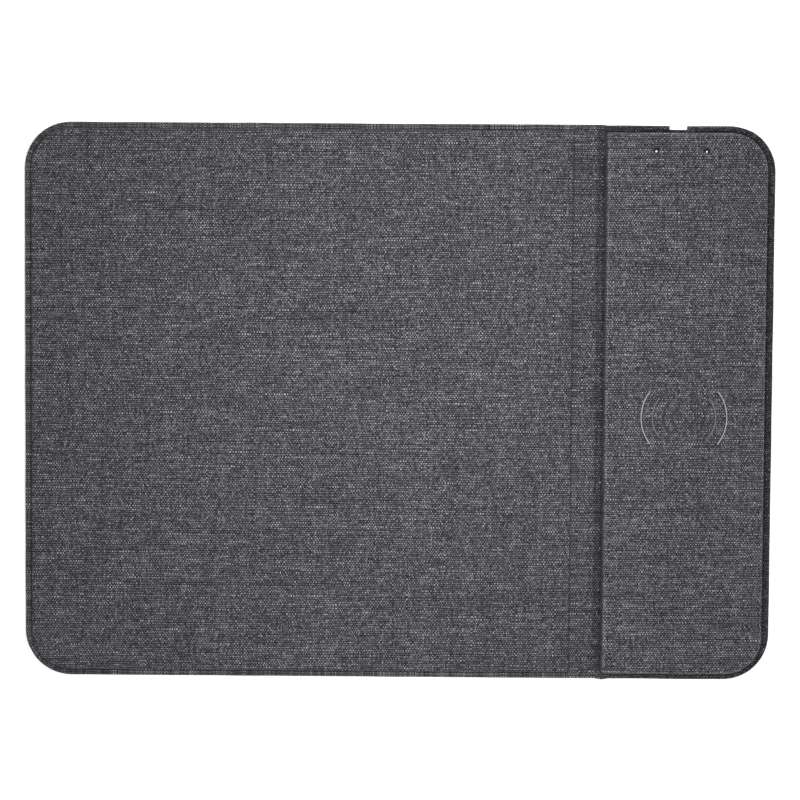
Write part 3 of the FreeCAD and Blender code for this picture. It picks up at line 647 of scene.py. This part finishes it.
# ---------------------------------------------------------------- materials
class Finish:
    """A material, and short calls for its nodes.  Lengths in its patterns are millimetres."""

    def __init__(self, name, roughness=0.5, metallic=0.0, **sockets):
        self.material = bpy.data.materials.new(name)
        self.material.use_nodes = True
        self.tree = self.material.node_tree
        self.shader = self.tree.nodes["Principled BSDF"]
        self.put("Roughness", roughness)
        self.put("Metallic", metallic)
        for socket, value in sockets.items():
            self.put(socket.replace("_", " "), value)

    def put(self, socket, value):
        self.join(value, self.shader.inputs[socket])

    def join(self, value, socket):
        if isinstance(value, bpy.types.NodeSocket):
            self.tree.links.new(value, socket)
        else:
            socket.default_value = value

    def node(self, kind, inputs, output=0, **settings):
        node = self.tree.nodes.new("ShaderNode" + kind)
        for key, value in settings.items():
            setattr(node, key, value)
        for key, value in inputs.items():
            self.join(value, node.inputs[key])
        return node.outputs[output]

    def math(self, operation, a, b=0.0):
        return self.node("Math", {0: a, 1: b}, operation=operation)

    def total(self, *parts):
        result = parts[0]
        for part in parts[1:]:
            result = self.math("ADD", result, part)
        return result

    def between(self, value, low, high, to_low=0.0, to_high=1.0, smooth=False):
        return self.node("MapRange", {0: value, 1: low, 2: high, 3: to_low, 4: to_high},
                         interpolation_type="SMOOTHSTEP" if smooth else "LINEAR")

    def mix(self, share, a, b):
        return self.node("Mix", {0: share, 6: a, 7: b}, output=2, data_type="RGBA")

    def noise(self, place, size, detail=2.0, roughness=0.5):
        return self.node("TexNoise", {"Vector": place, "Scale": 1 / size, "Detail": detail,
                                      "Roughness": roughness})

    def vector(self, x, y, z=0.0):
        return self.node("CombineXYZ", {0: x, 1: y, 2: z})

    def axes(self, place):
        """The x and y of a vector."""
        node = self.tree.nodes.new("ShaderNodeSeparateXYZ")
        self.join(place, node.inputs[0])
        return node.outputs[0], node.outputs[1]

    def attribute(self, name):
        """One of the numbers that the covers and lenses carry at their points."""
        return self.node("Attribute", {}, output=2, attribute_name=name)

    def on_cloth(self):
        """Where a point lies on the uncut cloth, in millimetres."""
        flat = self.node("UVMap", {}, uv_map="cloth")
        return self.node("VectorMath", {0: flat, "Scale": 1 / MM}, operation="SCALE")

    def divided(self, place, length, width):
        """The place, counted in lengths along X and widths along Y."""
        return self.node("VectorMath", {0: place, 1: (1 / length, 1 / width, 1.0)}, operation="MULTIPLY")

    def in_object(self, stretch=(1, 1, 1)):
        """Where a point lies in the object, in millimetres, with its grain drawn out by the stretch."""
        place = self.node("TexCoord", {}, output=3)
        scales = tuple(1 / MM / s for s in stretch)
        return self.node("VectorMath", {0: place, 1: scales}, operation="MULTIPLY")

    def bump(self, height, depth):
        self.put("Normal", self.node("Bump", {"Height": height, "Distance": depth * MM, "Strength": 1.0}))


def colour(r, g, b):
    return (r, g, b, 1.0)


class Weave(Finish):
    """A plain weave: light, slubby weft threads along X over dark warp threads along Y."""

    def stray(self, place, length, width):
        """How far threads stray from an even spacing, over these distances along X and Y."""
        drift = self.noise(self.divided(place, length, width), 1.0)
        return self.between(drift, 0.0, 1.0, -UNEVEN, UNEVEN)

    def yarn(self, distance, number, lengths):
        """How light a yarn is along its length: (over how many millimetres it varies, how much) for each."""
        total = 0.0
        for length, amount in lengths:
            spot = self.vector(self.math("MULTIPLY", distance, 1 / length),
                               self.math("MULTIPLY", number, YARNS_APART), YARN_SEED * length)
            varied = self.between(self.noise(spot, 1.0, 1.0), 0.0, 1.0, -amount / 2, amount / 2)
            total = self.math("ADD", total, varied)
        return total

    def slub(self, distance, number, amount):
        """How much lighter a yarn is where it is thick."""
        spot = self.vector(self.math("MULTIPLY", distance, 1 / SLUB_LENGTH),
                           self.math("MULTIPLY", number, SLUBS_APART), SLUB_SEED)
        return self.between(self.noise(spot, 1.0, detail=0.0), SLUB_FROM, SLUB_TO, 0.0, amount)

    def fibres(self, place, length, width):
        """How light single fibres are, each of this size along X and Y."""
        fibre = self.noise(self.divided(place, length, width), 1.0, detail=1.0)
        return self.between(fibre, NOISE_LOW, NOISE_HIGH, -FIBRE, FIBRE)


def heathered_cloth():
    """The woven cover.  The yarns' lightness is a logarithm, because their fibres differ by ratios."""
    cloth = Weave("woven_cover", Sheen_Weight=0.03, Sheen_Roughness=0.4,
                  Sheen_Tint=colour(0.8, 0.82, 0.9), Specular_IOR_Level=0.1)
    place = cloth.on_cloth()
    along, across = cloth.axes(place)
    along = cloth.math("ADD", along, cloth.stray(place, UNEVEN_NEAR, UNEVEN_FAR))
    across = cloth.math("ADD", across, cloth.stray(place, UNEVEN_FAR, UNEVEN_NEAR))
    warp = cloth.math("MULTIPLY", along, 1 / WARP_PITCH)
    weft = cloth.math("MULTIPLY", across, 1 / WEFT_PITCH)
    warp_wave = cloth.math("SINE", cloth.math("MULTIPLY", warp, math.pi))
    weft_wave = cloth.math("SINE", cloth.math("MULTIPLY", weft, math.pi))
    over = cloth.math("MULTIPLY", warp_wave, weft_wave)
    shows = cloth.between(over, OVER_FROM, OVER_TO, smooth=True)

    warp_number = cloth.math("FLOOR", warp)
    weft_number = cloth.math("FLOOR", weft)
    warp_fibres = cloth.fibres(place, FIBRE_WIDTH, FIBRE_LENGTH)
    weft_fibres = cloth.fibres(place, FIBRE_LENGTH, FIBRE_WIDTH)
    warp_log = cloth.total(cloth.yarn(across, warp_number, WARP_VARIES),
                           cloth.slub(across, warp_number, WARP_SLUB), warp_fibres, WARP_LOG)
    weft_log = cloth.total(cloth.yarn(along, weft_number, WEFT_VARIES),
                           cloth.slub(along, weft_number, WEFT_SLUB), weft_fibres, WEFT_LOG)

    # Painted shade in the gaps between the rows.
    gap_shade = cloth.between(cloth.math("ABSOLUTE", weft_wave), GAP_EDGE, 1.0, -ROW_GAP_SHADE, 0.0)
    cloud = cloth.between(cloth.noise(place, CLOUD_SIZE, detail=2.0), NOISE_LOW, NOISE_HIGH, -CLOUD, CLOUD)
    fleck = cloth.between(cloth.noise(place, FLECK_SIZE, detail=1.0), NOISE_LOW, NOISE_HIGH, -FLECK, FLECK)
    # Darker where the cloth is pressed and where shade is painted on, paler where a highlight is painted on.
    press_and_light = cloth.attribute("press_and_painted_light")
    darker = cloth.math("MULTIPLY", press_and_light, -PRESS_AND_LIGHT_DARKER)
    woven_log = cloth.total(cloth.between(shows, 0.0, 1.0, warp_log, weft_log), gap_shade, cloud, fleck, darker)

    ironed = cloth.attribute("ironed")
    log = cloth.between(ironed, 0.0, 1.0, cloth.math("MINIMUM", woven_log, LIGHTEST_LOG),
                        cloth.math("ADD", darker, IRONED_LOG))
    light = cloth.math("EXPONENT", log)
    cloth.put("Base Color", cloth.node("VectorMath", {0: YARN_TINT, "Scale": light}, operation="SCALE"))
    cloth.put("Roughness", cloth.math(
        "MINIMUM", cloth.between(press_and_light, 0.0, PRESS_TO_SMOOTH, CLOTH_ROUGH, PRESSED_ROUGH),
        cloth.between(ironed, 0.0, 1.0, CLOTH_ROUGH, IRONED_ROUGH)))

    thread = cloth.math("POWER", cloth.math("ABSOLUTE", over), THREAD_ROUND)
    fibre = cloth.between(shows, 0.0, 1.0, warp_fibres, weft_fibres)
    relief = cloth.between(press_and_light, 0.0, PRESS_TO_FLATTEN, 1.0, PRESSED_RELIEF)
    height = cloth.math("ADD", cloth.math("MULTIPLY", thread, relief),
                        cloth.math("MULTIPLY", fibre, FIBRE_HEIGHT))
    still = cloth.between(ironed, 0.0, 1.0, 1.0, IRONED_RELIEF)
    cloth.bump(cloth.math("MULTIPLY", height, still), WEAVE_DEPTH)
    return cloth.material


def rubber_base():
    """Matt rubber, embossed with a fine diamond grid."""
    rubber = Finish("base_sheet", roughness=0.72, Specular_IOR_Level=0.4)
    place = rubber.on_cloth()
    along, across = rubber.axes(place)
    ridges = [rubber.math("ABSOLUTE", rubber.math("SINE", rubber.math("MULTIPLY", way, math.pi / GRID_PITCH)))
              for way in (rubber.math("ADD", along, across), rubber.math("SUBTRACT", along, across))]
    studs = rubber.between(rubber.math("MULTIPLY", *ridges), 0.12, 0.5, smooth=True)
    studs = rubber.math("MAXIMUM", studs, rubber.attribute("ironed"))
    grain = rubber.noise(place, 0.3, detail=3.0)
    scuff = rubber.noise(place, 30.0, detail=4.0, roughness=0.6)
    rubber.put("Base Color", rubber.mix(rubber.math("MULTIPLY", scuff, studs), colour(0.013, 0.013, 0.014),
                                        colour(0.045, 0.045, 0.048)))
    rubber.put("Roughness", rubber.between(scuff, 0.35, 0.65, 0.62, 0.8))
    rubber.bump(rubber.math("ADD", studs, rubber.math("MULTIPLY", grain, 0.25)), 0.12)
    return rubber.material


def grained(name, low, high, grain, depth, roughness, stretch=(1, 1, 1), detail=3.0, **sockets):
    """A finish that varies between two colours, with its grain size and bump depth in millimetres."""
    finish = Finish(name, roughness, **sockets)
    place = finish.in_object(stretch)
    fine = finish.noise(place, grain, detail)
    broad = finish.noise(place, grain * 14, 2.0)
    finish.put("Base Color", finish.mix(finish.between(finish.math("ADD", fine, broad), 0.7, 1.3),
                                        colour(*low), colour(*high)))
    finish.put("Roughness", finish.between(broad, 0.3, 0.7, roughness * 0.85, roughness * 1.15))
    finish.bump(fine, depth)
    return finish.material


def clear_pipe():
    """Clear plastic, dark with the inside of the case, and pale where its end is frosted."""
    pipe = Finish("light_pipe", roughness=0.15, IOR=1.49, Coat_Weight=0.5, Coat_Roughness=0.1)
    frost = pipe.attribute("ironed")
    grain = pipe.noise(pipe.in_object(), 0.12, detail=2.0)
    pale = pipe.mix(grain, colour(0.5, 0.58, 0.66), colour(0.62, 0.7, 0.8))
    pipe.put("Base Color", pipe.mix(frost, colour(0.006, 0.008, 0.012), pale))
    pipe.bump(pipe.math("MULTIPLY", grain, frost), 0.01)
    return pipe.material


def circuit_laminate():
    """Solder mask over a glass weave, which shows faintly through it."""
    board = Finish("board_laminate", roughness=0.28, Coat_Weight=0.4)
    place = board.in_object()
    waves = [board.math("SINE", board.math("MULTIPLY", way, math.pi / GLASS_PITCH))
             for way in board.axes(place)]
    glass = board.between(board.math("MULTIPLY", *waves), -0.8, 0.8)
    tint = board.math("MULTIPLY", glass, board.noise(place, 3.0))
    board.put("Base Color", board.mix(tint, colour(0.006, 0.07, 0.03), colour(0.03, 0.2, 0.09)))
    board.bump(glass, 0.01)
    return board.material


finishes = {
    "woven_cover": heathered_cloth(),
    "base_sheet": rubber_base(),
    "board_laminate": circuit_laminate(),
    "foam": grained("foam", (0.085, 0.085, 0.09), (0.16, 0.16, 0.165), 0.3, 0.12, 0.95),
    "stiffener": grained("stiffener", (0.17, 0.15, 0.12), (0.27, 0.245, 0.21), 0.35, 0.03, 0.9, (1, 7, 1)),
    "case_plastic": grained("case_plastic", (0.024, 0.024, 0.026), (0.038, 0.038, 0.04), 0.16, 0.015, 0.5),
    "screw_steel": grained("screw_steel", (0.46, 0.46, 0.48), (0.62, 0.62, 0.64), 0.08, 0.004, 0.3, (1, 1, 5),
                           metallic=1.0),
    "tape": grained("tape", (0.68, 0.64, 0.53), (0.8, 0.77, 0.68), 1.2, 0.01, 0.3, Coat_Weight=0.3),
    "ferrite": grained("ferrite", (0.045, 0.045, 0.05), (0.075, 0.075, 0.08), 0.12, 0.01, 0.7),
    "film": grained("film", (0.68, 0.42, 0.07), (0.85, 0.6, 0.15), 4.0, 0.004, 0.16, Coat_Weight=0.6),
    "coil_copper": grained("coil_copper", (0.55, 0.25, 0.12), (0.82, 0.45, 0.26), 0.1, 0.02, 0.3,
                           metallic=1.0),
    "solder": grained("solder", (0.62, 0.62, 0.64), (0.82, 0.82, 0.84), 0.2, 0.01, 0.22, metallic=1.0),
    "chip_black": grained("chip_black", (0.018, 0.018, 0.018), (0.034, 0.034, 0.034), 0.06, 0.006, 0.6),
    "capacitor_tan": grained("capacitor_tan", (0.42, 0.29, 0.17), (0.55, 0.4, 0.26), 0.15, 0.004, 0.45),
    "led_body": grained("led_body", (0.72, 0.7, 0.62), (0.86, 0.84, 0.78), 0.2, 0.004, 0.35),
    "light_pipe": clear_pipe(),
    "socket_steel": grained("socket_steel", (0.5, 0.5, 0.52), (0.68, 0.68, 0.7), 0.09, 0.004, 0.26, (1, 6, 1),
                            metallic=1.0),
    "socket_insulator": grained("socket_insulator", (0.02, 0.02, 0.021), (0.035, 0.035, 0.036), 0.1, 0.005,
                                0.4),
    "contact_gold": grained("contact_gold", (0.78, 0.52, 0.18), (0.92, 0.68, 0.3), 0.1, 0.003, 0.22,
                            metallic=1.0),
}
new_pieces = [(mat_cover, "woven_cover"), (panel_cover, "woven_cover"), (mat_base, "base_sheet"),
              (panel_base, "base_sheet")] + [(lens, "light_pipe") for lens in lenses.values()]
for piece, name in new_pieces:
    piece.data.materials.clear()
    piece.data.materials.append(finishes[name])
for part in frame["record"]["subparts"]:
    for slot in frame["nodes"][part["node"]].material_slots:
        slot.material = finishes[part["material_slot"]]

# ---------------------------------------------------------------- the floor, the light and the camera
FLOOR_HALF, FLOOR_Z = 15.0, -0.00005         # metres
# The soft lights: place and size in metres, power in watts.
LIGHTS = {"top_light": ((0.02, 0.045, 0.24), 0.12, 0.53),
          "rear_light": ((0.06, 0.4, 0.36), 0.25, 1.35),
          "front_light": ((0.06, -0.38, 0.36), 0.25, 1.5)}
SKY, HORIZON, HORIZON_END = 0.36, 0.64, 0.3  # the sky's brightness, and how far up the horizon's reaches
CAMERA_AIM = Vector((0.72, 0.87, 3.4))
CAMERA_DISTANCE = 718.9
CAMERA_LEAN, CAMERA_TILT, CAMERA_TURN = (math.radians(a) for a in (0.34, 2.57, 0.39))


def make_floor():
    corners = [(-1, -1), (1, -1), (1, 1), (-1, 1)]
    mesh = bpy.data.meshes.new("floor")
    mesh.from_pydata([(x * FLOOR_HALF, y * FLOOR_HALF, FLOOR_Z) for x, y in corners], [], [(0, 1, 2, 3)])
    finish = Finish("floor", roughness=0.9, Specular_IOR_Level=0.1, Emission_Strength=0.3,
                    Emission_Color=colour(1.0, 1.0, 1.0))
    finish.put("Base Color", colour(0.93, 0.93, 0.93))
    mesh.materials.append(finish.material)
    floor = bpy.data.objects.new("floor", mesh)
    bpy.context.scene.collection.objects.link(floor)
    return floor


def soft_light(name, place, size, watts):
    """A square area light that faces the middle of the mat."""
    data = bpy.data.lights.new(name, "AREA")
    data.size, data.energy = size, watts
    light = bpy.data.objects.new(name, data)
    light.location = place
    light.visible_camera = False
    light.rotation_euler = (-Vector(place)).to_track_quat("-Z", "Y").to_euler()
    bpy.context.scene.collection.objects.link(light)


def soft_sky():
    """White light from all round, which at the horizon is as bright as the far floor."""
    world = bpy.data.worlds.new("studio")
    world.use_nodes = True
    nodes, links = world.node_tree.nodes, world.node_tree.links
    nodes["Background"].inputs["Color"].default_value = colour(1.0, 1.0, 1.0)
    axes = nodes.new("ShaderNodeSeparateXYZ")
    links.new(nodes.new("ShaderNodeTexCoord").outputs["Generated"], axes.inputs[0])
    strength = nodes.new("ShaderNodeMapRange")
    ends = {"From Min": 0.0, "From Max": HORIZON_END, "To Min": HORIZON, "To Max": SKY}
    for socket, value in ends.items():
        strength.inputs[socket].default_value = value
    links.new(axes.outputs["Z"], strength.inputs["Value"])
    links.new(strength.outputs["Result"], nodes["Background"].inputs["Strength"])
    bpy.context.scene.world = world


def make_camera():
    """The camera, nearly straight above the mat."""
    away = Vector((math.sin(CAMERA_LEAN), math.sin(CAMERA_TILT), 1)).normalized()
    camera_up = away.cross(Vector((1, math.sin(CAMERA_TURN), 0))).normalized()
    camera_right = camera_up.cross(away)
    data = bpy.data.cameras.new("camera")
    data.lens, data.sensor_width = 85.0, 36.0
    data.clip_start, data.clip_end = 0.01, 20.0
    camera = bpy.data.objects.new("camera", data)
    camera.matrix_world = Matrix((camera_right, camera_up, away)).transposed().to_4x4()
    camera.location = (CAMERA_AIM + CAMERA_DISTANCE * away) * MM
    bpy.context.scene.collection.objects.link(camera)
    bpy.context.scene.camera = camera


floor = make_floor()
for name, (place, size, watts) in LIGHTS.items():
    soft_light(name, place, size, watts)
soft_sky()
make_camera()
bpy.context.scene.view_settings.view_transform = "Standard"
